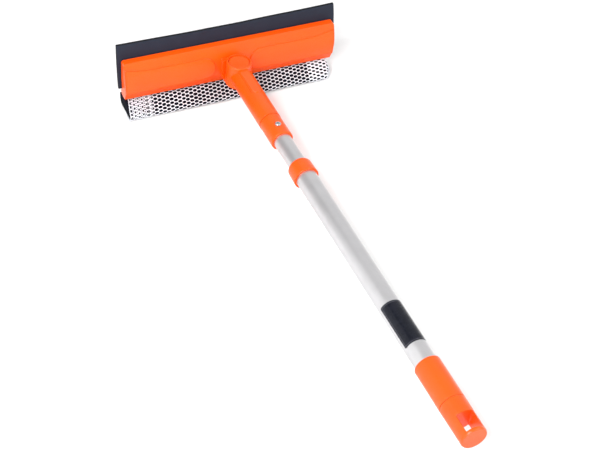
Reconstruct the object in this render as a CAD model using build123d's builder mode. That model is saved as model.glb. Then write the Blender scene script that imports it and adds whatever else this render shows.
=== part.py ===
from build123d import *
import os
from math import radians, tan

# Telescopic window squeegee: a rubber blade and a net-covered sponge on one head,
# which swivels on the end of a two-section twist-lock pole.
#
# Row frame: +X along the blade, +Y from the grip towards the head, +Z up.
# The tool lies with the sponge down. Its origin is under the middle of its box.
# Heights in the sketches are measured from the pole's axis, distances along the
# pole from the swivel's axis.

# ---------------------------------------------------------------- driving sizes
GRIP_END = 517.7          # swivel axis to the end of the grip
SPONGE_BACK = 37.4        # swivel axis to the back of the sponge
SPONGE_FLOOR = 38.3       # pole axis down to the sponge's working face

PIVOT_Y = (GRIP_END - SPONGE_BACK) / 2
AXIS_Z = SPONGE_FLOOR

# pole: stations are distances from the swivel axis
OUTER_R, OUTER_BORE = 11.0, 10.2
INNER_R, INNER_BORE = 9.5, 8.7
OUTER_TOP, OUTER_END = 164.0, 488.0
INNER_TOP, INNER_END = 89.5, 432.0
COLLAR_TOP, COLLAR_END = 159.0, 177.4
COLLAR_TOP_R, COLLAR_R = 12.7, 13.2
GRIP_TOP, GRIP_SEAM, GRIP_R = 432.7, 479.1, 12.8
LABEL_TOP, LABEL_END, LABEL_WIDTH = 361.5, 411.7, 20.4
LABEL_THICK, LABEL_TURN = 0.14, 8.0
SLOT_TOP, SLOT_END, SLOT_WIDTH = 496.5, 514.5, 16.0
RUN = 0.06                # radial clearance of the running fits

# twist lock inside the pole
STUD_R, STUD_BORE = 3.0, 1.5
PLUG_LONG = 22.0
FLANGE_END = INNER_END + 2.5
SLEEVE_TOP, SLEEVE_END = FLANGE_END + 0.3, 464.0
TAPER_TOP = 443.0
TAPER_TOP_R, TAPER_END_R = 4.4, 8.4
SLIT_WIDTH = 1.2
CONE_GAP = 0.4
CONE_TOP, CONE_END = 448.0, 463.0
STUD_END = 468.0
STOP_HOLE_TOP = 458.0

# swivel: heights are measured from the pole axis
KNUCKLE_R, KNUCKLE_TOP, KNUCKLE_BOTTOM = 13.6, 14.95, -8.85
EAR_R, EAR_TOP, EAR_BOTTOM = 13.0, -9.0, -13.0
CRADLE_Y, CRADLE_TOP = 12.5, 9.0      # clear of the stem at a full swivel
POST_R, POST_TOP = 6.0, 3.0
TEETH = 12
CAP_R, CAP_TOP, CAP_UNDER, CAP_GAP = 11.1, 14.3, 11.8, 0.55
SKIRT_R, SKIRT_BORE, SKIRT_BOTTOM = 8.62, 7.2, -0.2
POCKET_R = SKIRT_R + 0.08
CAP_TRAVEL = 3.0

# neck and socket
NECK_R, NECK_BORE, NECK_SEAM = 12.0, 6.4, 86.5
RIB_MIDDLE, RIB_LONG, RIB_WIDE, RIB_TOP = 30.0, 42.0, 10.4, 12.9
SPIGOT_R, SPIGOT_END = 8.65, 113.0
SOCKET_BORE = SPIGOT_R + 0.02
SOCKET_TOP_R, SOCKET_R, SOCKET_END = 11.6, 11.9, 118.0
SCREW_STATION, SHANK_R = 104.0, 1.45
SCREW_HEAD_R, SCREW_HEAD_TALL = 3.2, 1.8

# head
PLATE_TOP, PLATE_BOTTOM = 23.4, -22.9
PLATE_HALF, PLATE_FOOT_HALF = 121.6, 120.2
PANEL_RISE, PANEL_TOP, PANEL_BOTTOM = 1.4, 12.6, -12.9
BLADE_HALF, BLADE_THICK, BLADE_TALL, LEAN = 126.0, 3.0, 54.2, 3.5
BLADE_FOOT = (28.5, -13.2)
SEAT_Z = BLADE_FOOT[1] - 0.35
STRIP_HALF, STRIP_THICK, STRIP_TOP, STRIP_BOTTOM = 119.0, 3.0, 8.0, -20.0
BACK_Y = 31.7
SCREW_Z = -15.9
CLAMP_SHANK_R, CLAMP_HEAD_R, CLAMP_HEAD_TALL = 1.48, 3.0, 2.1
SCREW_XS = (-96, -48, 0, 48, 96)
PEG_XS = (-72, -24, 24, 72)
PEG_Y, PEG_R = 25.5, 3.0
CORE_XS = (-99, -59, 59, 99)

# sponge
SPONGE_HALF, SPONGE_TOP = 118.4, -23.2
NOSE_Y, NOSE_TOP, SLOPE_Y = 0.1, -31.6, 17.6
SLEEVE_CLOTH = 0.9
FOAM_PROUD = 2.2
CARRIER_TOP, CARRIER_THICK = SPONGE_TOP - SLEEVE_CLOTH, 1.6

# ------------------------------------------------------------------ work planes
PIVOT = (0, PIVOT_Y, AXIS_Z)
POLE_AXIS = Axis(PIVOT, (0, -1, 0))
SWIVEL_AXIS = Axis(PIVOT, (0, 0, 1))
SECTION = Plane(origin=PIVOT, x_dir=(0, 1, 0), z_dir=(1, 0, 0))     # (Y, Z)
LATHE = Plane(origin=PIVOT, x_dir=(0, -1, 0), z_dir=(-1, 0, 0))     # (station, radius)
FRONT = Plane(origin=PIVOT, x_dir=(1, 0, 0), z_dir=(0, -1, 0))      # (X, Z)


def level(height):
    """Horizontal plane at a height from the pole axis, centred on the swivel."""
    return Plane(origin=(0, PIVOT_Y, AXIS_Z + height))


def band(low, high, inner, outer):
    """Rectangle between two stations and two radii (or two radii and two heights)."""
    with Locations(((low + high) / 2, (inner + outer) / 2)):
        Rectangle(high - low, outer - inner)


def keep(shape, name):
    shape.part.label = name
    export_step(shape.part, f"parts/{name}.step")


os.makedirs("parts", exist_ok=True)

# ============================================================== outer pole group

with BuildPart() as outer_tube:
    with BuildSketch(LATHE):
        band(OUTER_TOP, OUTER_END, OUTER_BORE, OUTER_R)
    revolve(axis=POLE_AXIS)

# collar: covers the outer tube's mouth and guides the inner tube
with BuildPart() as pole_collar:
    with BuildSketch(LATHE):
        with BuildLine():
            Polyline(
                (COLLAR_TOP, INNER_R + RUN),
                (COLLAR_TOP, COLLAR_TOP_R - 1.0),
                (COLLAR_TOP + 2.0, COLLAR_TOP_R),
                (COLLAR_END - 0.4, COLLAR_R),
                (COLLAR_END, COLLAR_R - 0.4),
                (COLLAR_END, OUTER_R),
                (OUTER_TOP, OUTER_R),
                (OUTER_TOP, INNER_R + RUN),
                close=True,
            )
        make_face()
    revolve(axis=POLE_AXIS)
    rim = pole_collar.edges().filter_by(GeomType.CIRCLE).sort_by(Axis.Y)[-3:]
    fillet(rim.sort_by(SortBy.RADIUS)[-1:], radius=1.0)

# grip: a sleeve and an end cap with the hanging slot
with BuildPart() as grip_sleeve:
    with BuildSketch(LATHE):
        band(GRIP_TOP, GRIP_SEAM - 0.2, OUTER_R, GRIP_R)
    revolve(axis=POLE_AXIS)
    outer_rims = grip_sleeve.edges().filter_by(GeomType.CIRCLE).sort_by(SortBy.RADIUS)[-2:]
    fillet(outer_rims.sort_by(Axis.Y)[-1], radius=0.9)
    fillet(outer_rims.sort_by(Axis.Y)[0], radius=0.4)

with BuildPart() as grip_end_cap:
    with BuildSketch(LATHE):
        with BuildLine():
            Polyline(
                (GRIP_SEAM, OUTER_R),
                (GRIP_SEAM, GRIP_R - 0.4),
                (GRIP_SEAM + 0.4, GRIP_R),
                (GRIP_END - 1.5, GRIP_R - 0.3),
                (GRIP_END, GRIP_R - 1.0),
                (GRIP_END, 0),
                (OUTER_END, 0),
                (OUTER_END, OUTER_R),
                close=True,
            )
        make_face()
    revolve(axis=POLE_AXIS)
    with BuildSketch(level(-2 * GRIP_R)):
        with Locations((0, -(SLOT_TOP + SLOT_END) / 2)):
            RectangleRounded(SLOT_WIDTH, SLOT_END - SLOT_TOP, 0.8)
    extrude(amount=4 * GRIP_R, mode=Mode.SUBTRACT)

# label: a plain foil patch on the tube
with BuildPart() as pole_label:
    with BuildSketch(LATHE):
        band(LABEL_TOP, LABEL_END, OUTER_R, OUTER_R + LABEL_THICK)
    revolve(axis=POLE_AXIS)
    with BuildSketch(level(0).rotated((0, -LABEL_TURN, 0))):
        with Locations((0, -(LABEL_TOP + LABEL_END) / 2)):
            RectangleRounded(LABEL_WIDTH, LABEL_END - LABEL_TOP, 1.0)
    extrude(amount=2 * OUTER_R, mode=Mode.INTERSECT)

# ============================================================ twist lock in the pole

# expander: a split sleeve that the cone spreads against the outer tube
with BuildPart() as lock_expander:
    with BuildSketch(LATHE):
        with BuildLine():
            Polyline(
                (SLEEVE_TOP, STUD_R + 0.1),
                (SLEEVE_TOP, OUTER_BORE - RUN),
                (SLEEVE_END, OUTER_BORE - RUN),
                (SLEEVE_END, TAPER_END_R),
                (TAPER_TOP, TAPER_TOP_R),
                (TAPER_TOP, STUD_R + 0.1),
                close=True,
            )
        make_face()
    revolve(axis=POLE_AXIS)
    with BuildSketch(FRONT.offset(SLEEVE_END)):
        for turn in (0, 90):
            Rectangle(3 * OUTER_R, SLIT_WIDTH, rotation=turn)
    extrude(amount=-(SLEEVE_END - TAPER_TOP - 3), mode=Mode.SUBTRACT)


def taper_radius(station):
    """Radius of the expander's taper at a station."""
    slope = (TAPER_END_R - TAPER_TOP_R) / (SLEEVE_END - TAPER_TOP)
    return TAPER_TOP_R + slope * (station - TAPER_TOP)


# cone nut: runs on the stud's thread and spreads the expander
with BuildPart() as lock_cone:
    with BuildSketch(LATHE):
        with BuildLine():
            Polyline(
                (CONE_TOP, STUD_R + 0.05),
                (CONE_TOP, taper_radius(CONE_TOP) - CONE_GAP),
                (CONE_END, taper_radius(CONE_END) - CONE_GAP),
                (CONE_END, STUD_R + 0.05),
                close=True,
            )
        make_face()
    revolve(axis=POLE_AXIS)

# ============================================================== inner pole group

with BuildPart() as inner_tube:
    with BuildSketch(LATHE):
        band(INNER_TOP, INNER_END, INNER_BORE, INNER_R)
    revolve(axis=POLE_AXIS)
    with BuildSketch(level(0)):
        with Locations((0, -SCREW_STATION)):
            Circle(SHANK_R + 0.05)
    extrude(amount=2 * INNER_R, mode=Mode.SUBTRACT)

# stud: a plug in the tube's end, a flange and the threaded stud
with BuildPart() as lock_stud:
    with BuildSketch(LATHE):
        band(INNER_END - PLUG_LONG, INNER_END, 0, INNER_BORE)
        band(INNER_END, FLANGE_END, 0, INNER_R)
        band(FLANGE_END, STUD_END, 0, STUD_R)
    revolve(axis=POLE_AXIS)
    with BuildSketch(LATHE):
        band(STOP_HOLE_TOP, STUD_END, 0, STUD_BORE)
    revolve(axis=POLE_AXIS, mode=Mode.SUBTRACT)

# end screw and washer that keep the cone on the stud
with BuildPart() as stud_screw:
    with BuildSketch(LATHE):
        band(STOP_HOLE_TOP, STUD_END, 0, STUD_BORE)
        band(STUD_END, STUD_END + 1.2, 0, 6.0)
        band(STUD_END + 1.2, STUD_END + 3.4, 0, 3.2)
    revolve(axis=POLE_AXIS)

# socket: clamps the swivel neck's spigot and the inner tube together
HEAD_SEAT = SOCKET_TOP_R - 0.4
with BuildPart() as pole_socket:
    with BuildSketch(LATHE):
        with BuildLine():
            Polyline(
                (NECK_SEAM, SOCKET_BORE),
                (NECK_SEAM, SOCKET_TOP_R - 0.6),
                (NECK_SEAM + 0.6, SOCKET_TOP_R),
                (SOCKET_END, SOCKET_R),
                (SOCKET_END, INNER_R),
                (INNER_TOP, INNER_R),
                (INNER_TOP, SOCKET_BORE),
                close=True,
            )
        make_face()
    revolve(axis=POLE_AXIS)
    lip = pole_socket.edges().filter_by(GeomType.CIRCLE).sort_by(Axis.Y)[:2].sort_by(SortBy.RADIUS)[-1]
    fillet(lip, radius=1.2)
    with BuildSketch(level(HEAD_SEAT)):
        with Locations((0, -SCREW_STATION)):
            Circle(SCREW_HEAD_R + 1.2)
    extrude(amount=2, mode=Mode.SUBTRACT)
    with BuildSketch(level(0)):
        with Locations((0, -SCREW_STATION)):
            Circle(SHANK_R + 0.15)
    extrude(amount=2 * SOCKET_R, mode=Mode.SUBTRACT)

# socket screw: pan head with a cross recess
SCREW_TIP = 2.0
with BuildPart() as socket_screw:
    with BuildSketch(level(SCREW_TIP)):
        with Locations((0, -SCREW_STATION)):
            Circle(SHANK_R)
    extrude(amount=HEAD_SEAT - SCREW_TIP)
    with BuildSketch(level(HEAD_SEAT)):
        with Locations((0, -SCREW_STATION)):
            Circle(SCREW_HEAD_R)
    extrude(amount=SCREW_HEAD_TALL)
    fillet(socket_screw.edges().group_by(Axis.Z)[-1], radius=1.1)
    with BuildSketch(level(HEAD_SEAT + 0.6)):
        with Locations((0, -SCREW_STATION)):
            for turn in (0, 90):
                Rectangle(3.4, 0.8, rotation=turn + 20)
    extrude(amount=2, mode=Mode.SUBTRACT)

# neck: the knuckle that turns on the post, the stem and the spigot
with BuildPart() as swivel_neck:
    with BuildSketch(LATHE):
        band(0, NECK_SEAM, 0, NECK_R)
        band(NECK_SEAM, SPIGOT_END, 0, SPIGOT_R)
    revolve(axis=POLE_AXIS)
    with BuildSketch(level(6)):                       # thumb rib along the top
        with Locations((0, -RIB_MIDDLE)):
            SlotOverall(RIB_LONG, RIB_WIDE, rotation=90)
    extrude(amount=RIB_TOP - 6)
    fillet(swivel_neck.edges().group_by(Axis.Z)[-1], radius=0.7)
    with BuildSketch(level(KNUCKLE_BOTTOM - 8)):      # room for the ear to turn under the stem
        Circle(15.6)
    extrude(amount=8, mode=Mode.SUBTRACT)
    with BuildSketch(level(KNUCKLE_BOTTOM)):
        Circle(KNUCKLE_R)
    extrude(amount=KNUCKLE_TOP - KNUCKLE_BOTTOM)
    fillet(swivel_neck.edges().group_by(Axis.Z)[-1], radius=0.9)
    with BuildSketch(level(CAP_UNDER - CAP_TRAVEL - 0.4)):
        Circle(CAP_R + CAP_GAP)
    extrude(amount=10, mode=Mode.SUBTRACT)
    with BuildSketch(level(-4.7)):
        Circle(POCKET_R)
    extrude(amount=20, mode=Mode.SUBTRACT)
    with BuildSketch(level(SKIRT_BOTTOM - CAP_TRAVEL - 0.4)):
        Rectangle(2 * 10.15, 3.3)
    extrude(amount=20, mode=Mode.SUBTRACT)
    with BuildSketch(level(-20)):
        Circle(POST_R + RUN)
    extrude(amount=20, mode=Mode.SUBTRACT)
    with BuildSketch(LATHE):                          # the stem is hollow
        band(20, SPIGOT_END, 0, NECK_BORE)
    revolve(axis=POLE_AXIS, mode=Mode.SUBTRACT)
    with BuildSketch(level(0)):
        with Locations((0, -SCREW_STATION)):
            Circle(SHANK_R)
    extrude(amount=20, mode=Mode.SUBTRACT)

# release button: cap, skirt, two keys and the ring of lock teeth
with BuildPart() as release_button:
    with BuildSketch(level(CAP_UNDER)):
        Circle(CAP_R)
    extrude(amount=CAP_TOP - CAP_UNDER)
    fillet(release_button.edges().group_by(Axis.Z)[-1], radius=0.5)
    with BuildSketch(FRONT):                          # shallow dish in the cap
        with BuildLine():
            dish = ThreePointArc((-CAP_R + 1.6, CAP_TOP), (0, CAP_TOP - 0.6), (CAP_R - 1.6, CAP_TOP))
            Line(dish @ 0, dish @ 1)
        make_face()
        with Locations((-CAP_R, CAP_TOP)):
            Rectangle(2 * CAP_R, 4, align=(Align.CENTER, Align.CENTER), mode=Mode.SUBTRACT)
    revolve(axis=SWIVEL_AXIS, mode=Mode.SUBTRACT)
    with BuildSketch(level(SKIRT_BOTTOM)):
        Circle(SKIRT_R)
        Circle(SKIRT_BORE, mode=Mode.SUBTRACT)
    extrude(amount=CAP_UNDER - SKIRT_BOTTOM)
    with BuildSketch(level(SKIRT_BOTTOM)):
        with PolarLocations(8.9, 2):
            Rectangle(2.2, 3.0)
    extrude(amount=7.2)
    with BuildSketch(level(SKIRT_BOTTOM)):
        with PolarLocations(6.8, TEETH, start_angle=15):
            Rectangle(0.9, 1.2)
    extrude(amount=3.0)

# button spring: stands on the post and lifts the cap
SPRING_R, SPRING_WIRE = 4.0, 0.4
SPRING_LOW, SPRING_HIGH = POST_TOP + SPRING_WIRE + 0.02, CAP_UNDER - SPRING_WIRE - 0.02
with BuildPart() as button_spring:
    with BuildLine(level(SPRING_LOW)) as coil:
        Helix(pitch=1.6, height=SPRING_HIGH - SPRING_LOW, radius=SPRING_R)
    with BuildSketch(Plane(origin=coil.line @ 0, z_dir=coil.line % 0)):
        Circle(SPRING_WIRE)
    sweep()

# ==================================================================== head group


def plate_section(rise):
    """Closed section of the plate. Its front stands rise further towards the grip."""
    with BuildSketch(SECTION) as section:
        with BuildLine():
            crest = Line((29.3 - rise, PLATE_TOP), (22.1 - rise, PLATE_TOP - 0.2))
            upper = Line(crest @ 1, (17.5 - rise, 9.8))
            bulge = ThreePointArc(upper @ 1, (15.8 - rise, -0.5), (16.5 - rise, -13.0))
            bevel = Line(bulge @ 1, (19.9 - rise, PLATE_BOTTOM + 0.6))
            foot = ThreePointArc(bevel @ 1, (24.8 - rise, PLATE_BOTTOM), (29.4, PLATE_BOTTOM + 0.6))
            heel = ThreePointArc(foot @ 1, (31.1, PLATE_BOTTOM + 2.0), (BACK_Y, PLATE_BOTTOM + 4.6))
            Polyline(heel @ 1, (BACK_Y, SEAT_Z), (BLADE_FOOT[0] - 0.1, SEAT_Z), crest @ 0)
        make_face()
    return section.sketch


# raised panels, left and right of the knuckle
with BuildPart() as panels:
    extrude(plate_section(PANEL_RISE), amount=PLATE_HALF - 1.2, both=True)
    with BuildSketch(FRONT):
        with BuildLine():
            top = Line((33.0, PANEL_TOP), (86.0, PANEL_TOP))
            flare = TangentArc(top @ 1, (130.0, PANEL_TOP + 6.4), tangent=(1, 0))
            base = Polyline(flare @ 1, (130.0, PANEL_BOTTOM), (33.0, PANEL_BOTTOM))
            ThreePointArc(base @ 1, (20.2, (PANEL_TOP + PANEL_BOTTOM) / 2), top @ 0)
        make_face()
        mirror(about=Plane.YZ)
    extrude(amount=60, both=True, mode=Mode.INTERSECT)

with BuildPart() as head_body:
    extrude(plate_section(0), amount=PLATE_HALF + 5, both=True)
    with BuildSketch(FRONT):
        with BuildLine():
            Polyline(
                (PLATE_HALF, PLATE_TOP + 5),
                (PLATE_HALF, 0),
                (PLATE_FOOT_HALF, PLATE_BOTTOM - 5),
                (-PLATE_FOOT_HALF, PLATE_BOTTOM - 5),
                (-PLATE_HALF, 0),
                (-PLATE_HALF, PLATE_TOP + 5),
                close=True,
            )
        make_face()
    extrude(amount=60, both=True, mode=Mode.INTERSECT)
    fillet(
        head_body.edges().filter_by(Axis.Y, tolerance=15).group_by(Axis.Z)[-1],
        radius=2.4,
    )
    add(panels.part)
    # cradle behind the knuckle, and the ear below it
    with BuildSketch(level(EAR_BOTTOM)):
        with Locations((0, CRADLE_Y)):
            Rectangle(2 * EAR_R, 9, align=(Align.CENTER, Align.MIN))
    extrude(amount=CRADLE_TOP - EAR_BOTTOM)
    with BuildSketch(level(EAR_TOP)):
        Circle(KNUCKLE_R + 0.4)
    extrude(amount=40, mode=Mode.SUBTRACT)
    with BuildSketch(level(EAR_BOTTOM)):
        Circle(EAR_R)
        with Locations((0, 9)):
            Rectangle(2 * EAR_R, 18)
    extrude(amount=EAR_TOP - EAR_BOTTOM)
    # post hole with a hexagonal seat for its flange
    with BuildSketch(level(EAR_BOTTOM)):
        Circle(POST_R)
    extrude(amount=EAR_TOP - EAR_BOTTOM, mode=Mode.SUBTRACT)
    with BuildSketch(level(EAR_BOTTOM)):
        RegularPolygon(radius=9.0, side_count=6)
    extrude(amount=1.7, mode=Mode.SUBTRACT)
    # cored pockets behind the plate
    for x in CORE_XS:
        with BuildSketch(SECTION.offset(x)):
            with BuildLine():
                Polyline((40, -8), (18.9, -8), (18.7, 6), (24.5, 19.6), (40, 19.6), close=True)
            make_face()
        extrude(amount=17.5, both=True, mode=Mode.SUBTRACT)
    # pilot holes for the strip's screws, and holes for the carrier's pegs
    with BuildSketch(FRONT.offset(-BACK_Y)):
        with Locations(*[(x, SCREW_Z) for x in SCREW_XS]):
            Circle(CLAMP_SHANK_R + 0.02)
    extrude(amount=10, mode=Mode.SUBTRACT)
    with BuildSketch(level(PLATE_BOTTOM - 2)):
        with Locations(*[(x, PEG_Y) for x in PEG_XS]):
            Circle(PEG_R)
    extrude(amount=8, mode=Mode.SUBTRACT)

# post: a hexagonal flange under the ear, a journal and a toothed top
with BuildPart() as pivot_post:
    with BuildSketch(level(EAR_BOTTOM + 0.1)):
        RegularPolygon(radius=8.9, side_count=6)
    extrude(amount=1.6)
    with BuildSketch(FRONT):
        with BuildLine():
            Polyline(
                (0, EAR_BOTTOM + 1),
                (POST_R, EAR_BOTTOM + 1),
                (POST_R, -4.6),
                (5.0, -4.6),
                (5.0, -3.7),
                (5.3, -3.7),
                (5.3, POST_TOP),
                (0, POST_TOP),
                close=True,
            )
        make_face()
    revolve(axis=SWIVEL_AXIS)
    with BuildSketch(level(-0.2)):
        with PolarLocations(5.5, TEETH):
            Rectangle(1.0, 1.2)
    extrude(amount=POST_TOP + 0.2)

# retaining ring: snaps into the post's groove and keeps the knuckle down
with BuildPart() as retaining_ring:
    with BuildSketch(level(-4.55)):
        Circle(7.9)
        Circle(5.04, mode=Mode.SUBTRACT)
        with Locations((0, 7)):
            Rectangle(5, 8, mode=Mode.SUBTRACT)
    extrude(amount=0.8)

# blade: a flat rubber sheet that leans back from its foot
with BuildPart() as squeegee_blade:
    with BuildSketch(SECTION):
        with Locations(BLADE_FOOT):
            Rectangle(BLADE_THICK, BLADE_TALL, rotation=-LEAN, align=(Align.MIN, Align.MIN))
    extrude(amount=BLADE_HALF, both=True)

# clamp strip: holds the blade's foot against the plate
STRIP_LEAN = (STRIP_TOP - SEAT_Z) * tan(radians(LEAN))
with BuildPart() as clamp_strip:
    with BuildSketch(SECTION):
        with BuildLine():
            Polyline(
                (BACK_Y + 0.05, STRIP_BOTTOM),
                (BACK_Y + 0.05, SEAT_Z),
                (BACK_Y + 0.05 + STRIP_LEAN, STRIP_TOP),
                (BACK_Y + STRIP_THICK - 0.8 + STRIP_LEAN, STRIP_TOP),
                (BACK_Y + STRIP_THICK, SEAT_Z),
                (BACK_Y + STRIP_THICK, STRIP_BOTTOM),
                close=True,
            )
        make_face()
    extrude(amount=STRIP_HALF, both=True)
    fillet(clamp_strip.edges().filter_by(Axis.Y, tolerance=15), radius=3)
    with BuildSketch(FRONT.offset(-BACK_Y)):
        with Locations(*[(x, SCREW_Z) for x in SCREW_XS]):
            Circle(CLAMP_SHANK_R + 0.2)
    extrude(amount=10, both=True, mode=Mode.SUBTRACT)

# clamp screws: identical pan-head screws through the strip into the plate
with BuildPart() as clamp_screws:
    with BuildSketch(FRONT.offset(-BACK_Y - STRIP_THICK)):
        with Locations(*[(x, SCREW_Z) for x in SCREW_XS]):
            Circle(CLAMP_SHANK_R)
    extrude(amount=STRIP_THICK + 9)
    with BuildSketch(FRONT.offset(-BACK_Y - STRIP_THICK - CLAMP_HEAD_TALL)):
        with Locations(*[(x, SCREW_Z) for x in SCREW_XS]):
            Circle(CLAMP_HEAD_R)
    extrude(amount=CLAMP_HEAD_TALL)
    fillet(clamp_screws.edges().group_by(Axis.Y)[-1], radius=0.9)
    with BuildSketch(FRONT.offset(-BACK_Y - STRIP_THICK - CLAMP_HEAD_TALL)):
        with Locations(*[(x, SCREW_Z) for x in SCREW_XS]):
            for turn in (0, 90):
                Rectangle(3.2, 0.8, rotation=turn + 25)
    extrude(amount=1.0, mode=Mode.SUBTRACT)


def sponge_section(x, shrink):
    """Section of the covered sponge at x. Its front slopes down to a rounded nose."""
    top, back = SPONGE_TOP - shrink, SPONGE_BACK - shrink
    floor, nose = -SPONGE_FLOOR + shrink, NOSE_Y + shrink
    with BuildSketch(SECTION.offset(x)) as section:
        with BuildLine():
            Polyline(
                (SLOPE_Y + shrink / 2, top),
                (nose, NOSE_TOP - shrink / 2),
                (nose, floor),
                (back, floor),
                (back, top),
                close=True,
            )
        make_face()
        rounds = (((nose, floor), 4.0), ((nose, NOSE_TOP), 4.0), ((back, floor), 9.0))
        for corner, radius in rounds:
            fillet(section.vertices().sort_by_distance(corner)[0], radius=radius - shrink)
    return section.sketch


# sponge carrier: a plastic strip with pegs that press into the plate
with BuildPart() as sponge_carrier:
    with BuildSketch(level(CARRIER_TOP - CARRIER_THICK)):
        with Locations((0, PEG_Y)):
            RectangleRounded(2 * SPONGE_HALF - 20, 14, 3)
    extrude(amount=CARRIER_THICK)
    with BuildSketch(level(CARRIER_TOP)):
        with Locations(*[(x, PEG_Y) for x in PEG_XS]):
            Circle(PEG_R)
    extrude(amount=6.4)

# foam: open at its left end, where it stands out of the net
with BuildPart() as sponge_foam:
    extrude(
        sponge_section(-SPONGE_HALF - FOAM_PROUD, SLEEVE_CLOTH),
        amount=2 * SPONGE_HALF + FOAM_PROUD - SLEEVE_CLOTH,
    )
    with BuildSketch(level(CARRIER_TOP - CARRIER_THICK)):
        with Locations((0, PEG_Y)):
            RectangleRounded(2 * SPONGE_HALF - 20, 14, 3)
    extrude(amount=10, mode=Mode.SUBTRACT)

# net sleeve: pulled over the foam, closed at its right end
with BuildPart() as net_sleeve:
    extrude(sponge_section(-SPONGE_HALF, 0), amount=2 * SPONGE_HALF)
    extrude(
        sponge_section(-SPONGE_HALF, SLEEVE_CLOTH),
        amount=2 * SPONGE_HALF - SLEEVE_CLOTH,
        mode=Mode.SUBTRACT,
    )
    with BuildSketch(level(CARRIER_TOP)):
        with Locations(*[(x, PEG_Y) for x in PEG_XS]):
            Circle(PEG_R + 0.05)
    extrude(amount=5, mode=Mode.SUBTRACT)

# ======================================================================== export

PIECES = {
    "outer_tube": outer_tube,
    "pole_collar": pole_collar,
    "grip_sleeve": grip_sleeve,
    "grip_end_cap": grip_end_cap,
    "pole_label": pole_label,
    "lock_expander": lock_expander,
    "lock_cone": lock_cone,
    "inner_tube": inner_tube,
    "lock_stud": lock_stud,
    "stud_screw": stud_screw,
    "pole_socket": pole_socket,
    "socket_screw": socket_screw,
    "swivel_neck": swivel_neck,
    "release_button": release_button,
    "button_spring": button_spring,
    "head_body": head_body,
    "pivot_post": pivot_post,
    "retaining_ring": retaining_ring,
    "squeegee_blade": squeegee_blade,
    "clamp_strip": clamp_strip,
    "clamp_screws": clamp_screws,
    "sponge_carrier": sponge_carrier,
    "sponge_foam": sponge_foam,
    "net_sleeve": net_sleeve,
}

for name, piece in PIECES.items():
    keep(piece, name)
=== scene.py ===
import bpy
import math
from mathutils import Matrix, Vector, noise


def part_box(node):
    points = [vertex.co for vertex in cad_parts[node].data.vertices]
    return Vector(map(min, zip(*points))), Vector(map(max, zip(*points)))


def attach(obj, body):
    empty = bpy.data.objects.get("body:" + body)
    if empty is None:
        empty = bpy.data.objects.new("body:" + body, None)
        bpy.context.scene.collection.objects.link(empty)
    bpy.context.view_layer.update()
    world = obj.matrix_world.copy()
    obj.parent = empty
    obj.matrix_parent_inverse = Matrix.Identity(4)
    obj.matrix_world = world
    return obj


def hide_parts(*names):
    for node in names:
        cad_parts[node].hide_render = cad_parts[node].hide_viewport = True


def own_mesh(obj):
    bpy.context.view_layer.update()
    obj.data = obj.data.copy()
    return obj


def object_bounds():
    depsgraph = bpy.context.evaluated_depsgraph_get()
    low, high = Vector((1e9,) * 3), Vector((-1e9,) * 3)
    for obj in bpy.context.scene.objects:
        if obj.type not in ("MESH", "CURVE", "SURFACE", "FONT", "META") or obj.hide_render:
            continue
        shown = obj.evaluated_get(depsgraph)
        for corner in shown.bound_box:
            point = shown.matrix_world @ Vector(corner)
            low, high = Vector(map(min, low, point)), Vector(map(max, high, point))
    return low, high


# Telescopic window squeegee. The CAD nodes keep their shapes and get materials here;
# the foam, its knitted net and the rubber blade are built as meshes of their own.
# Lengths are in metres of the row frame: +X along the blade, +Y from the grip to the head.

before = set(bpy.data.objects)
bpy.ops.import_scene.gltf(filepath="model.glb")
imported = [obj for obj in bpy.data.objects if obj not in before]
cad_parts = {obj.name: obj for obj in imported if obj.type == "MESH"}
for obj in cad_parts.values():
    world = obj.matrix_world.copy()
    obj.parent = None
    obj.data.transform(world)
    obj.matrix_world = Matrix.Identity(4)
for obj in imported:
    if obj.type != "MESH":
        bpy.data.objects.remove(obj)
cad_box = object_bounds()
MM = 0.001


# ================================================================= shared helpers

def direction(azimuth, elevation):
    """Unit vector from the tool towards a viewer. At azimuth 0 the viewer is on the grip's side."""
    a, e = math.radians(azimuth), math.radians(elevation)
    return Vector((math.sin(a) * math.cos(e), -math.cos(a) * math.cos(e), math.sin(e)))


def mesh_piece(name, points, faces, material, body):
    """A smooth-shaded mesh object that rides on a body."""
    mesh = bpy.data.meshes.new(name)
    mesh.from_pydata(points, [], faces)
    mesh.validate()
    mesh.materials.append(material)
    piece = bpy.data.objects.new(name, mesh)
    bpy.context.scene.collection.objects.link(piece)
    mesh.shade_smooth()
    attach(piece, body)
    return piece


def rounded_outline(corners, step):
    """Points about step apart round a closed polygon of (y, z, radius) corners, and its length."""
    dense, arcs = [], 16
    count = len(corners)
    for k, (y, z, radius) in enumerate(corners):
        here = Vector((y, z))
        before = (Vector(corners[k - 1][:2]) - here).normalized()
        after = (Vector(corners[(k + 1) % count][:2]) - here).normalized()
        half = before.angle(after) / 2
        centre = here + (before + after).normalized() * radius / math.sin(half)
        start = here + before * radius / math.tan(half) - centre
        sweep = start.angle_signed(here + after * radius / math.tan(half) - centre)
        for i in range(arcs + 1):
            dense.append(centre + Matrix.Rotation(-sweep * i / arcs, 2) @ start)
    return evenly(dense, step)


def evenly(points, step):
    """An even number of points the same distance apart on a closed line, and its length."""
    ends = points[1:] + points[:1]
    lengths = [(b - a).length for a, b in zip(points, ends)]
    total = sum(lengths)
    count = 2 * round(total / step / 2)
    spaced, at, k = [], 0.0, 0
    for i in range(count):
        want = total * i / count
        while at + lengths[k] < want:
            at += lengths[k]
            k += 1
        spaced.append(points[k].lerp(ends[k], (want - at) / lengths[k]))
    return spaced, total


# ============================================================= material helpers

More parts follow.
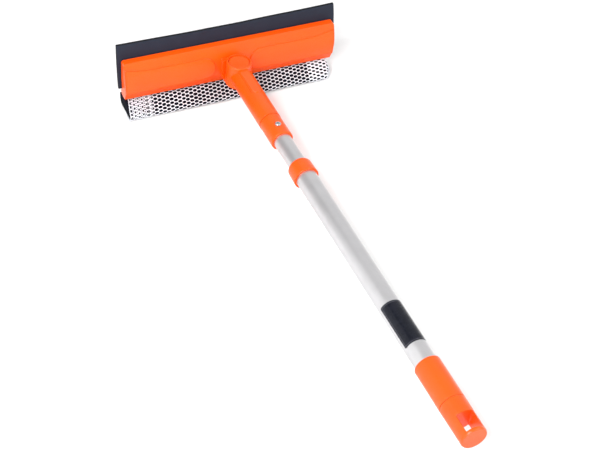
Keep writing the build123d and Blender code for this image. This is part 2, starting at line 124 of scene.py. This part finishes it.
class Nodes:
    """Builds one material's node tree. Object coordinates are the row frame's metres."""

    def __init__(self, name):
        self.material = bpy.data.materials.new(name)
        self.material.use_nodes = True
        self.tree = self.material.node_tree
        self.shader = self.tree.nodes["Principled BSDF"]
        self.place = self.add("ShaderNodeTexCoord").outputs["Object"]

    def add(self, kind, values=None, **settings):
        made = self.tree.nodes.new(kind)
        for key, value in settings.items():
            setattr(made, key, value)
        for key, value in (values or {}).items():
            self.put(made.inputs[key], value)
        return made

    def put(self, socket, value):
        if isinstance(value, bpy.types.NodeSocket):
            self.tree.links.new(value, socket)
        else:
            socket.default_value = value

    def set(self, **values):
        """Values for the shader; an underscore in a name stands for a space."""
        for key, value in values.items():
            self.put(self.shader.inputs[key.replace("_", " ")], value)
        return self

    def stretched(self, x=1.0, y=1.0, z=1.0):
        return self.add("ShaderNodeMapping", {"Vector": self.place, "Scale": (x, y, z)}).outputs[0]

    def noise(self, size, detail=2.0, place=None, roughness=0.5):
        values = {"Vector": place or self.place, "Scale": 1 / size}
        values.update({"Detail": detail, "Roughness": roughness})
        return self.add("ShaderNodeTexNoise", values).outputs["Fac"]

    def cells(self, size, feature="F1", place=None, randomness=1.0):
        values = {"Vector": place or self.place, "Scale": 1 / size, "Randomness": randomness}
        return self.add("ShaderNodeTexVoronoi", values, feature=feature).outputs["Distance"]

    def math(self, operation, a, b=0.0, clamp=False):
        made = self.add("ShaderNodeMath", operation=operation, use_clamp=clamp)
        self.put(made.inputs[0], a)
        self.put(made.inputs[1], b)
        return made.outputs[0]

    def span(self, value, low, high, to_low=0.0, to_high=1.0):
        values = {"Value": value, "From Min": low, "From Max": high}
        values.update({"To Min": to_low, "To Max": to_high})
        return self.add("ShaderNodeMapRange", values).outputs[0]

    def mix(self, share, a, b):
        made = self.add("ShaderNodeMix", data_type="RGBA")
        self.put(made.inputs[0], share)
        self.put(made.inputs[6], (*a, 1) if isinstance(a, tuple) else a)
        self.put(made.inputs[7], (*b, 1) if isinstance(b, tuple) else b)
        return made.outputs[2]

    def bump(self, height, depth, normal=None):
        values = {"Height": height, "Distance": depth, "Strength": 1.0}
        if normal is not None:
            values["Normal"] = normal
        return self.add("ShaderNodeBump", values).outputs[0]

    def soft_edges(self, radius):
        return self.add("ShaderNodeBevel", {"Radius": radius}, samples=4).outputs[0]


def moulded_plastic(name, colour, deep, roughness, edge=0.35 * MM):
    """Injection-moulded plastic: fine spark-eroded grain, faint flow marks and handling wear."""
    n = Nodes(name)
    flow = n.noise(26 * MM, detail=3)
    grain = n.noise(0.35 * MM, detail=2)
    scuffs = n.noise(1.6 * MM, detail=4, place=n.stretched(y=0.12), roughness=0.65)
    n.set(Base_Color=n.mix(n.span(flow, 0.3, 0.7), colour, deep))
    shine = n.math("ADD", n.span(grain, 0.3, 0.7, roughness - 0.04, roughness + 0.04),
                   n.span(scuffs, 0.55, 0.8, 0.0, 0.10))
    n.set(Roughness=shine, Normal=n.bump(grain, 0.012 * MM, n.soft_edges(edge)))
    n.set(Specular_IOR_Level=0.34, Subsurface_Weight=0.05, Subsurface_Radius=(1.0, 0.25, 0.08),
          Subsurface_Scale=1.0 * MM)
    return n.material


def satin_metal(name, colour, roughness, along, depth):
    """Drawn or brushed metal with fine lines along one direction."""
    n = Nodes(name)
    lines = n.noise(0.22 * MM, detail=3, place=n.stretched(**along), roughness=0.6)
    haze = n.noise(14 * MM, detail=2)
    n.set(Base_Color=n.mix(n.span(haze, 0.3, 0.7), colour, tuple(0.94 * c for c in colour)))
    n.set(Roughness=n.span(lines, 0.3, 0.7, roughness - 0.05, roughness + 0.05))
    n.set(Metallic=1.0, Normal=n.bump(lines, depth, n.soft_edges(0.2 * MM)))
    return n.material


def rubber():
    """Slate-grey rubber sheet, darker where its normal isn't square to the sheet: on its edges."""
    n = Nodes("blade_rubber")
    bloom = n.noise(18 * MM, detail=4, roughness=0.6)
    grain = n.noise(0.3 * MM, detail=2)
    facing = n.add("ShaderNodeNewGeometry").outputs["True Normal"]
    local = n.add("ShaderNodeVectorTransform", {"Vector": facing}, vector_type="NORMAL",
                  convert_from="WORLD", convert_to="OBJECT").outputs[0]
    across = n.add("ShaderNodeSeparateXYZ", {"Vector": local}).outputs["Y"]
    face = n.span(n.math("ABSOLUTE", across), 0.75, 0.97)
    sheet = n.mix(n.span(bloom, 0.3, 0.75), (0.0105, 0.0145, 0.026), (0.015, 0.0195, 0.0335))
    n.set(Base_Color=n.mix(face, (0.002, 0.003, 0.006), sheet))
    n.set(Roughness=n.span(bloom, 0.3, 0.7, 0.60, 0.72), Specular_IOR_Level=0.22)
    n.set(Normal=n.bump(grain, 0.015 * MM, n.bump(bloom, 0.05 * MM)))
    return n.material


def foam():
    """Open-cell foam, nearly black, with pores in two sizes and painted shade in the pores."""
    n = Nodes("foam_black")
    pores = n.cells(1.1 * MM)
    fine = n.cells(0.5 * MM)
    depth = n.math("ADD", n.span(pores, 0.1, 0.6), n.span(fine, 0.1, 0.6, 0.0, 0.4))
    # Painted shade: the pores, the low parts of the bump, are painted darker than the struts between
    # them.
    n.set(Base_Color=n.mix(n.span(depth, 0.2, 1.2), (0.0005, 0.0005, 0.001), (0.006, 0.007, 0.012)))
    n.set(Roughness=n.span(fine, 0.0, 0.6, 0.85, 0.98), Normal=n.bump(depth, 0.25 * MM))
    n.set(Specular_IOR_Level=0.08)
    return n.material


def net_thread():
    """White multi-filament polyester, with the fine twist of its filaments."""
    n = Nodes("net_white")
    twist = n.noise(0.16 * MM, detail=2, place=n.stretched(x=0.35))
    tint = n.noise(9 * MM, detail=3)
    n.set(Base_Color=n.mix(n.span(tint, 0.3, 0.7), (0.71, 0.73, 0.775), (0.63, 0.65, 0.69)))
    n.set(Roughness=n.span(twist, 0.3, 0.7, 0.45, 0.62), Sheen_Weight=0.15)
    n.set(Normal=n.bump(twist, 0.05 * MM))
    return n.material


def label_foil(node):
    """Glossy dark label with a thin plain line inside its edge. It carries no lettering."""
    n = Nodes("label_foil")
    low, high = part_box(node)
    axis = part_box("outer_tube")
    axis_z = (axis[0].z + axis[1].z) / 2
    radius = high.z - axis_z
    left, right = math.asin(low.x / radius), math.asin(high.x / radius)
    half_round = radius * (right - left) / 2
    half_long = (high.y - low.y) / 2
    xyz = n.add("ShaderNodeSeparateXYZ", {"Vector": n.place}).outputs
    around = n.math("ARCTAN2", xyz["X"], n.math("SUBTRACT", xyz["Z"], axis_z))
    turned = n.math("SUBTRACT", around, (left + right) / 2)
    across = n.math("ABSOLUTE", n.math("MULTIPLY", turned, radius))
    along = n.math("ABSOLUTE", n.math("SUBTRACT", xyz["Y"], (low.y + high.y) / 2))
    from_edge = n.math("MINIMUM", n.math("SUBTRACT", half_round, across),
                       n.math("SUBTRACT", half_long, along))
    from_line = n.math("ABSOLUTE", n.math("SUBTRACT", from_edge, 1.5 * MM))
    line = n.math("SUBTRACT", 1.0, n.span(from_line, 0.12 * MM, 0.22 * MM))
    cloud = n.noise(6 * MM, detail=3)
    ink = n.mix(n.span(cloud, 0.3, 0.7), (0.003, 0.004, 0.008), (0.006, 0.007, 0.013))
    n.set(Base_Color=n.mix(line, ink, (0.10, 0.10, 0.12)), Specular_IOR_Level=0.15)
    n.set(Roughness=n.span(cloud, 0.3, 0.7, 0.22, 0.32), Coat_Weight=0.12, Coat_Roughness=0.12)
    n.set(Normal=n.bump(cloud, 0.02 * MM))
    return n.material


def dress(material, *names):
    """Gives CAD nodes a material in place of their own."""
    for name in names:
        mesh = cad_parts[name].data
        mesh.materials.clear()
        mesh.materials.append(material)


# =========================================================== materials for CAD

ORANGE = moulded_plastic("orange_plastic", (0.87, 0.081, 0.001), (0.85, 0.073, 0.001), 0.30, 0.8 * MM)
WHITE_PLASTIC = moulded_plastic("lock_nylon", (0.70, 0.69, 0.64), (0.66, 0.65, 0.60), 0.45)
STRIP_PLASTIC = moulded_plastic("strip_plastic", (0.84, 0.086, 0.002), (0.80, 0.078, 0.001), 0.40)
CARRIER_PLASTIC = moulded_plastic("carrier_black", (0.010, 0.011, 0.014), (0.008, 0.009, 0.012), 0.50)
POST_PLASTIC = moulded_plastic("post_acetal", (0.80, 0.080, 0.010), (0.78, 0.074, 0.008), 0.36)
ALUMINIUM = satin_metal("tube_aluminium", (0.60, 0.595, 0.605), 0.40, {"y": 0.02}, 0.004 * MM)
CHROME = satin_metal("screw_steel", (0.50, 0.51, 0.53), 0.20, {"x": 0.3}, 0.004 * MM)
SPRING = satin_metal("spring_steel", (0.55, 0.55, 0.57), 0.28, {"z": 0.3}, 0.003 * MM)

dress(ORANGE, "pole_collar", "grip_sleeve", "grip_end_cap", "pole_socket", "swivel_neck",
      "release_button", "head_body")
dress(POST_PLASTIC, "pivot_post")
dress(WHITE_PLASTIC, "lock_expander", "lock_cone", "lock_stud")
dress(STRIP_PLASTIC, "clamp_strip")
dress(CARRIER_PLASTIC, "sponge_carrier")
dress(ALUMINIUM, "outer_tube", "inner_tube")
dress(CHROME, "stud_screw", "socket_screw", "clamp_screws")
dress(SPRING, "button_spring", "retaining_ring")
dress(label_foil("pole_label"), "pole_label")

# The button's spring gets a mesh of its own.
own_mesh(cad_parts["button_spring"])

# ====================================================================== sponge

SLEEVE_LOW, SLEEVE_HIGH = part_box("net_sleeve")
FOAM_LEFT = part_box("sponge_foam")[0].x
SLOPE_Y = SLEEVE_LOW.y + 18.7 * MM         # where the front slope meets the plate
NOSE_Z = SLEEVE_LOW.z + 6.7 * MM           # where the slope meets the nose
OUTLINE, ROUND = rounded_outline(
    [
        (SLOPE_Y, SLEEVE_HIGH.z, 1.5 * MM),
        (SLEEVE_LOW.y, NOSE_Z, 4.0 * MM),
        (SLEEVE_LOW.y, SLEEVE_LOW.z, 4.0 * MM),
        (SLEEVE_HIGH.y, SLEEVE_LOW.z, 9.0 * MM),
        (SLEEVE_HIGH.y, SLEEVE_HIGH.z, 1.5 * MM),
    ],
    0.5 * MM,
)
MID_Z = (SLEEVE_LOW.z + SLEEVE_HIGH.z) / 2
MID_LOW_Y, MID_HIGH_Y = SLEEVE_LOW.y + 9 * MM, SLEEVE_HIGH.y - 10 * MM
END_ROUND = 7.0 * MM                       # the sleeve's right end is drawn in round
NOSE_SHORT = 5.0 * MM                      # and ends sooner at the nose than at the back

COLUMN, ROW = 4.54 * MM, 2.165 * MM        # half the spacing of the holes, along and round
HOLE = (2.45 * MM, 1.76 * MM)              # half the length and half the width of a hole
FOLD_HOLE, GATHER_HOLE = (2.4 * MM, 1.76 * MM), (2.2 * MM, 1.6 * MM)
HEM_COLUMN, HEM_ROW, HEM_HOLE = 1.35 * MM, 0.98 * MM, (0.82 * MM, 0.62 * MM)
THICK = 0.38 * MM                          # of one layer of the net
LEAN, LEAN_FROM = 2.8 * MM, 0.08           # the columns' lean, and the share of the round where it starts
NET_START, NET_END = SLEEVE_LOW.x + 2.2 * MM, SLEEVE_HIGH.x + 9.0 * MM
FOLD_END, GATHER_START = SLEEVE_LOW.x + 21.0 * MM, SLEEVE_HIGH.x - 26.0 * MM
HEM_START, HEM_END = FOLD_END + 1.0 * MM, FOLD_END + 3.8 * MM

# Depths under the sleeve's outer face: of the foam's face and of the middles of the net's layers.
FOAM_SKIN = 0.9 * MM
UPPER_DEPTH, SINGLE_SINK, LOWER_DEPTH = 0.24 * MM, 0.38 * MM, 0.64 * MM
STEP_LENGTH = 3 * MM                       # over which the net comes down from its second layer


def on_outline(s):
    """Point of the closed section at arc length s, and its outward normal."""
    at = (s / ROUND) % 1.0 * len(OUTLINE)
    k, share = int(at), at - int(at)
    count = len(OUTLINE)
    point = OUTLINE[k % count].lerp(OUTLINE[(k + 1) % count], share)
    tangent = OUTLINE[(k + 2) % count] - OUTLINE[(k - 1) % count]
    return point, Vector((tangent.y, -tangent.x)).normalized()


def on_sleeve(u, s, depth):
    """Point at length u and arc length s, at a depth under the sleeve's outer face."""
    point, normal = on_outline(s)
    nose = min(1.0, max(0.0, (SLOPE_Y - point.x) / (SLOPE_Y - SLEEVE_LOW.y)))
    end = SLEEVE_HIGH.x - NOSE_SHORT * nose ** 2
    bend = max(0.0, u - (end - END_ROUND))
    turn = min(bend / END_ROUND, math.pi / 2)
    inward = (END_ROUND - depth) * (1 - math.cos(turn)) + max(0.0, bend - END_ROUND * math.pi / 2)
    x = min(u, end - END_ROUND) + (END_ROUND - depth) * math.sin(turn)
    point = point - normal * depth
    middle = Vector((min(max(point.x, MID_LOW_Y), MID_HIGH_Y), MID_Z))
    reach = (middle - point).length
    point = point.lerp(middle, min(inward / reach, 0.96))
    return Vector((x, point.x, point.y))


def cell_loop(column, row):
    """Outline of one six-sided cell of the net, starting at its right tip, and the tip's reach."""
    wide = (column ** 2 - row ** 2) / (2 * column)
    tip = (column ** 2 + row ** 2) / (2 * column)
    rim = [(tip, 0), (wide, row), (-wide, row), (-tip, 0), (-wide, -row), (wide, -row)]
    loop = []
    for k, corner in enumerate(rim):
        following = Vector(rim[(k + 1) % 6])
        loop += [Vector(corner), Vector(corner).lerp(following, 0.5)]
    return loop, tip


def drift(s):
    """How far the net's columns lean to the left at arc length s."""
    return LEAN * math.sin(2 * math.pi * (s / ROUND - LEAN_FROM))


def net(name, low_u, high_u, depth, column, row, hole, shift=0.0):
    """A knitted net of staggered oval holes between two lengths of the sleeve.
    column and row are half the spacing of the holes along and round the sleeve,
    depth(u) is how far its middle lies under the sleeve's outer face."""
    rows = 2 * round(ROUND / row / 2)
    row = ROUND / rows
    loop, tip = cell_loop(column, row)
    columns = int((high_u - low_u) / column)
    fine = 0.05 * MM                       # corners nearer than this are one vertex
    turn = round(ROUND / fine)
    sway, uneven = 0.3 * MM, 0.08          # of the threads, and of the holes' size
    flank, flank_lift = 0.62, 0.8          # a ridge runs along each thread, part of the way to the hole
    points, faces, index, shared = [], [], {}, {}

    def key_of(i, j, p):
        return round((i * column + p.x) / fine), round(((j * row + p.y) % ROUND) / fine) % turn

    def vertex(u, s, side, lift, key):
        if key not in index:
            index[key] = len(points)
            wobble = noise.noise(Vector((u * 90, s * 90, 3.7))) * sway
            at = on_sleeve(u + wobble - drift(s), s + wobble, depth(u) - side * lift * THICK / 2)
            points.append(at)
        return index[key]

    cells = [(i, j) for i in range(columns + 1) for j in range(rows) if (i + j) % 2 == 0]
    for i, j in cells:
        for p in loop:
            key = key_of(i, j, p)
            shared[key] = shared.get(key, 0) + 1
    for i, j in cells:
        u0, s0 = low_u + i * column, j * row + shift
        grow = 1 + uneven * noise.noise(Vector((i * 1.7, j * 2.3, 0.5)))
        rings, mouth = {1: [], -1: []}, []
        for k, p in enumerate(loop):
            angle = math.atan2(p.y / row, p.x / tip)
            key = key_of(i, j, p)
            edge = shared[key] < (3 if k % 2 == 0 else 2)
            inner = Vector((hole[0] * math.cos(angle), hole[1] * math.sin(angle))) * grow
            between = p.lerp(inner, flank)
            for side in (1, -1):
                lift = 0.0 if edge else 1.0
                rim_key = (key, 0 if edge else side)
                ring_key = (i, j, k, side)
                rings[side].append((vertex(u0 + p.x, s0 + p.y, side, lift, rim_key),
                                    vertex(u0 + between.x, s0 + between.y, side, flank_lift, ring_key)))
            mouth.append(vertex(u0 + inner.x, s0 + inner.y, 1, 0.0, (i, j, k, 0)))
        for k in range(len(loop)):
            m = (k + 1) % len(loop)
            for side in (1, -1):
                here, there = rings[side][k], rings[side][m]
                quads = [(here[0], there[0], there[1], here[1]), (here[1], there[1], mouth[m], mouth[k])]
                faces += quads if side == 1 else [tuple(reversed(q)) for q in quads]
    return mesh_piece(name, points, faces, THREAD, "head")


def cord_ring(name, at_u, depth, radius, wave):
    """A thin knitted cord that runs once round the sleeve, with a small wave."""
    step, sides = 0.7 * MM, 6
    count = round(ROUND / step)
    points, faces = [], []
    for k in range(count):
        s = ROUND * k / count
        sway = wave * math.sin(2 * math.pi * k / 3) + wave * noise.noise(Vector((k * 0.31, 1.5, 0.2)))
        for i in range(sides):
            angle = 2 * math.pi * i / sides
            u = at_u + sway + radius * math.cos(angle) - drift(s)
            points.append(on_sleeve(u, s, depth + radius * math.sin(angle)))
    for k in range(count):
        for i in range(sides):
            a, b = k * sides, (k + 1) % count * sides
            faces.append((a + i, b + i, b + (i + 1) % sides, a + (i + 1) % sides))
    return mesh_piece(name, points, faces, THREAD, "head")


def foam_block(material):
    """Foam under the sleeve: it stands out at the left end and is rounded at the right."""
    # Rings of points by length and share of the full section. The first ones make the cut left face,
    # and the last ones turn in behind the net's rounded right end.
    stations = [(FOAM_LEFT, share) for share in (0.02, 0.2, 0.4, 0.6, 0.75, 0.88)]
    stations += [(FOAM_LEFT + 0.1 * MM, 0.965), (FOAM_LEFT + 0.6 * MM, 1.0)]
    along, around, turned_in = 1.5 * MM, 1.0 * MM, 7 * MM
    u = FOAM_LEFT + along
    while u < SLEEVE_HIGH.x - END_ROUND + END_ROUND * math.pi / 2 + turned_in:
        stations.append((u, 1.0))
        u += along
    count = round(ROUND / around)
    proud = 0.1 * MM
    points, faces = [], []
    for u, share in stations:
        for k in range(count):
            s = ROUND * k / count
            p = on_sleeve(u, s, FOAM_SKIN)
            middle = Vector((p.x, min(max(p.y, MID_LOW_Y), MID_HIGH_Y), MID_Z))
            p = middle.lerp(p, share)
            rough = noise.noise(p * 700) * 0.25 * MM + noise.noise(p * 1900) * 0.15 * MM
            p += (p - middle).normalized() * min(rough, proud)
            if share < 1:
                p.x += abs(rough)
            points.append(p)
    for r in range(len(stations) - 1):
        for k in range(count):
            m = (k + 1) % count
            a, b = r * count, (r + 1) * count
            faces.append((a + k, b + k, b + m, a + m))
    faces.append(tuple(range(count)))
    last = (len(stations) - 1) * count
    faces.append(tuple(last + count - 1 - k for k in range(count)))
    block = mesh_piece("foam_block", points, faces, material, "head")
    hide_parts("sponge_foam")


def outer_depth(u):
    """The net lies on the foam, and over its own second layer near both ends."""
    left = (u - FOLD_END) / STEP_LENGTH
    right = (GATHER_START - u) / STEP_LENGTH
    single = min(1.0, max(0.0, min(left, right)))
    return UPPER_DEPTH + SINGLE_SINK * single


def inner_depth(u):
    """The net's second layer lies on the foam all along."""
    return LOWER_DEPTH


THREAD = net_thread()
foam_block(foam())
sleeve = net("net_mesh", NET_START, NET_END, outer_depth, COLUMN, ROW, HOLE)
fold = net("net_fold", NET_START + 0.5 * COLUMN, FOLD_END, inner_depth, 0.97 * COLUMN, ROW, FOLD_HOLE,
           shift=0.95 * ROW)
gather = net("net_gather", GATHER_START, NET_END, inner_depth, COLUMN, ROW, GATHER_HOLE, shift=0.3 * ROW)
hem = net("net_hem", HEM_START, HEM_END, inner_depth, HEM_COLUMN, HEM_ROW, HEM_HOLE)
mouth_cord = cord_ring("net_mouth_cord", NET_START - 2.2 * MM, 0.45 * MM, 0.4 * MM, 0.3 * MM)
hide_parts("net_sleeve")

# ======================================================================= blade

def blade_sheet(material):
    """The rubber blade: cut a little out of square, its edge lightly bowed, its corners soft."""
    low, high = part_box("squeegee_blade")
    thick = 3.0 * MM
    lean = (high.y - low.y - thick) / (high.z - low.z)
    foot_cut, edge_cut = 1.4 * MM, 2.3 * MM        # how far the ends are out of square
    rise_at_ends, dip, dip_at = 1.5 * MM, 1.0 * MM, -0.1
    ripple = 0.5 * MM
    across, up = 84, 18
    points, faces = [], []
    for side in (0, 1):
        for i in range(across + 1):
            for j in range(up + 1):
                share, rise = i / across * 2 - 1, j / up
                left = low.x + foot_cut * (1 - rise) ** 2
                right = high.x - edge_cut * rise ** 2 + foot_cut * (1 - rise) * rise * 2
                x = left + (right - left) * i / across
                bow = (rise_at_ends * (share - dip_at) ** 2 - dip) * rise
                wave = noise.noise(Vector((x * 22, 0.4, 1.7))) * ripple * rise ** 2
                z = low.z + (high.z - low.z) * rise + bow
                y = low.y + lean * (z - low.z) + side * thick + wave
                points.append((x, y, z))
    row, sheet = up + 1, (across + 1) * (up + 1)
    for i in range(across):
        for j in range(up):
            a = i * row + j
            faces.append((a, a + row, a + row + 1, a + 1))
            faces.append((sheet + a, sheet + a + 1, sheet + a + row + 1, sheet + a + row))
        for j, order in ((0, 1), (up, -1)):
            a = i * row + j
            faces.append((a, sheet + a, sheet + a + row, a + row)[::order])
    for j in range(up):
        for i, order in ((0, 1), (across, -1)):
            a = i * row + j
            faces.append((a, a + 1, sheet + a + 1, sheet + a)[::order])
    blade = mesh_piece("blade_sheet", points, faces, material, "head")
    soft = blade.modifiers.new("soft_edges", "BEVEL")
    soft.width, soft.segments, soft.limit_method = 0.35 * MM, 2, "ANGLE"
    soft.angle_limit = math.radians(50)
    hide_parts("squeegee_blade")


blade_sheet(rubber())

# ============================================================= studio and camera

def soft_box(name, azimuth, elevation, distance, width, height, power):
    """A rectangular light that faces the pole's upper half, and that the camera doesn't see."""
    data = bpy.data.lights.new(name, "AREA")
    data.shape, data.size, data.size_y, data.energy = "RECTANGLE", width, height, power
    light = bpy.data.objects.new(name, data)
    light.visible_camera = False
    bpy.context.scene.collection.objects.link(light)
    back = direction(azimuth, elevation)
    light.location = back * distance + Vector((0, 0.15, 0))
    light.rotation_mode = "QUATERNION"
    light.rotation_quaternion = (-back).to_track_quat("-Z", "Y")


def floor():
    """A plain pale floor, just under the sponge's working face."""
    half = 3.0
    corners = [(-half, -half, 0), (half, -half, 0), (half, half, 0), (-half, half, 0)]
    mesh = bpy.data.meshes.new("floor")
    mesh.from_pydata(corners, [], [(0, 1, 2, 3)])
    n = Nodes("floor_paper")
    n.set(Base_Color=n.mix(n.noise(0.4, detail=2), (0.79, 0.79, 0.79), (0.81, 0.81, 0.81)), Roughness=0.9)
    mesh.materials.append(n.material)
    ground = bpy.data.objects.new("floor", mesh)
    ground.location.z = cad_box[0].z - 0.2 * MM
    bpy.context.scene.collection.objects.link(ground)


def sky():
    """A white studio, a little dimmer overhead, with one soft gap behind the head's left end.
    The gap is what makes the dark streak along the tubes."""
    level, overhead, from_height = 1.00, 0.85, 0.72
    gap_way, gap_rim, gap_core, gap_level = Vector((-0.54, 0.63, 0.54)), 0.84, 0.985, 0.42
    world = bpy.data.worlds.new("studio")
    world.use_nodes = True
    tree = world.node_tree
    link = tree.links.new
    way = tree.nodes.new("ShaderNodeTexCoord").outputs["Generated"]
    parts = tree.nodes.new("ShaderNodeSeparateXYZ")
    link(way, parts.inputs[0])
    lift = tree.nodes.new("ShaderNodeMapRange")
    link(parts.outputs["Z"], lift.inputs["Value"])
    lift.inputs["From Min"].default_value = from_height
    lift.inputs["To Min"].default_value, lift.inputs["To Max"].default_value = level, overhead
    toward = tree.nodes.new("ShaderNodeVectorMath")
    toward.operation = "DOT_PRODUCT"
    link(way, toward.inputs[0])
    toward.inputs[1].default_value = gap_way.normalized()
    gap = tree.nodes.new("ShaderNodeMapRange")
    gap.interpolation_type = "SMOOTHSTEP"
    link(toward.outputs["Value"], gap.inputs["Value"])
    gap.inputs["From Min"].default_value, gap.inputs["From Max"].default_value = gap_rim, gap_core
    gap.inputs["To Min"].default_value, gap.inputs["To Max"].default_value = 1.0, gap_level
    strength = tree.nodes.new("ShaderNodeMath")
    strength.operation = "MULTIPLY"
    link(lift.outputs[0], strength.inputs[0])
    link(gap.outputs[0], strength.inputs[1])
    link(strength.outputs[0], tree.nodes["Background"].inputs["Strength"])
    tree.nodes["Background"].inputs["Color"].default_value = (1.0, 1.0, 1.0, 1.0)
    bpy.context.scene.world = world


def studio():
    """The sky and four lights: azimuth, elevation, distance, width, height and power of each."""
    sky()
    soft_box("key", -45, 40, 1.6, 0.6, 0.6, 17)
    soft_box("fill", 40, 35, 1.6, 0.9, 0.9, 9)
    soft_box("glint", -70, 55, 1.2, 0.12, 0.12, 3.5)
    soft_box("side", -79, 32, 0.42, 0.40, 0.40, 0.40)
    bpy.context.scene.view_settings.view_transform = "Standard"


def camera():
    """The photograph's view: from the grip's side and above, turned a little about its line of sight."""
    data = bpy.data.cameras.new("camera")
    data.lens, data.sensor_width = 83.38, 36.0
    data.clip_start, data.clip_end = 0.05, 20.0
    cam = bpy.data.objects.new("camera", data)
    bpy.context.scene.collection.objects.link(cam)
    target, distance, roll = Vector((-33.5, 4.8, 38.3)) * MM, 1.3287, math.radians(6.90)
    back = direction(-29.09, 44.01)
    cam.location = target + back * distance
    level = (-back).to_track_quat("-Z", "Y").to_matrix().to_4x4()
    turned = level @ Matrix.Rotation(roll, 4, "Z")
    cam.rotation_mode = "QUATERNION"
    cam.rotation_quaternion = turned.to_quaternion()
    bpy.context.scene.camera = cam


floor()
studio()
camera()

bpy.context.view_layer.update()
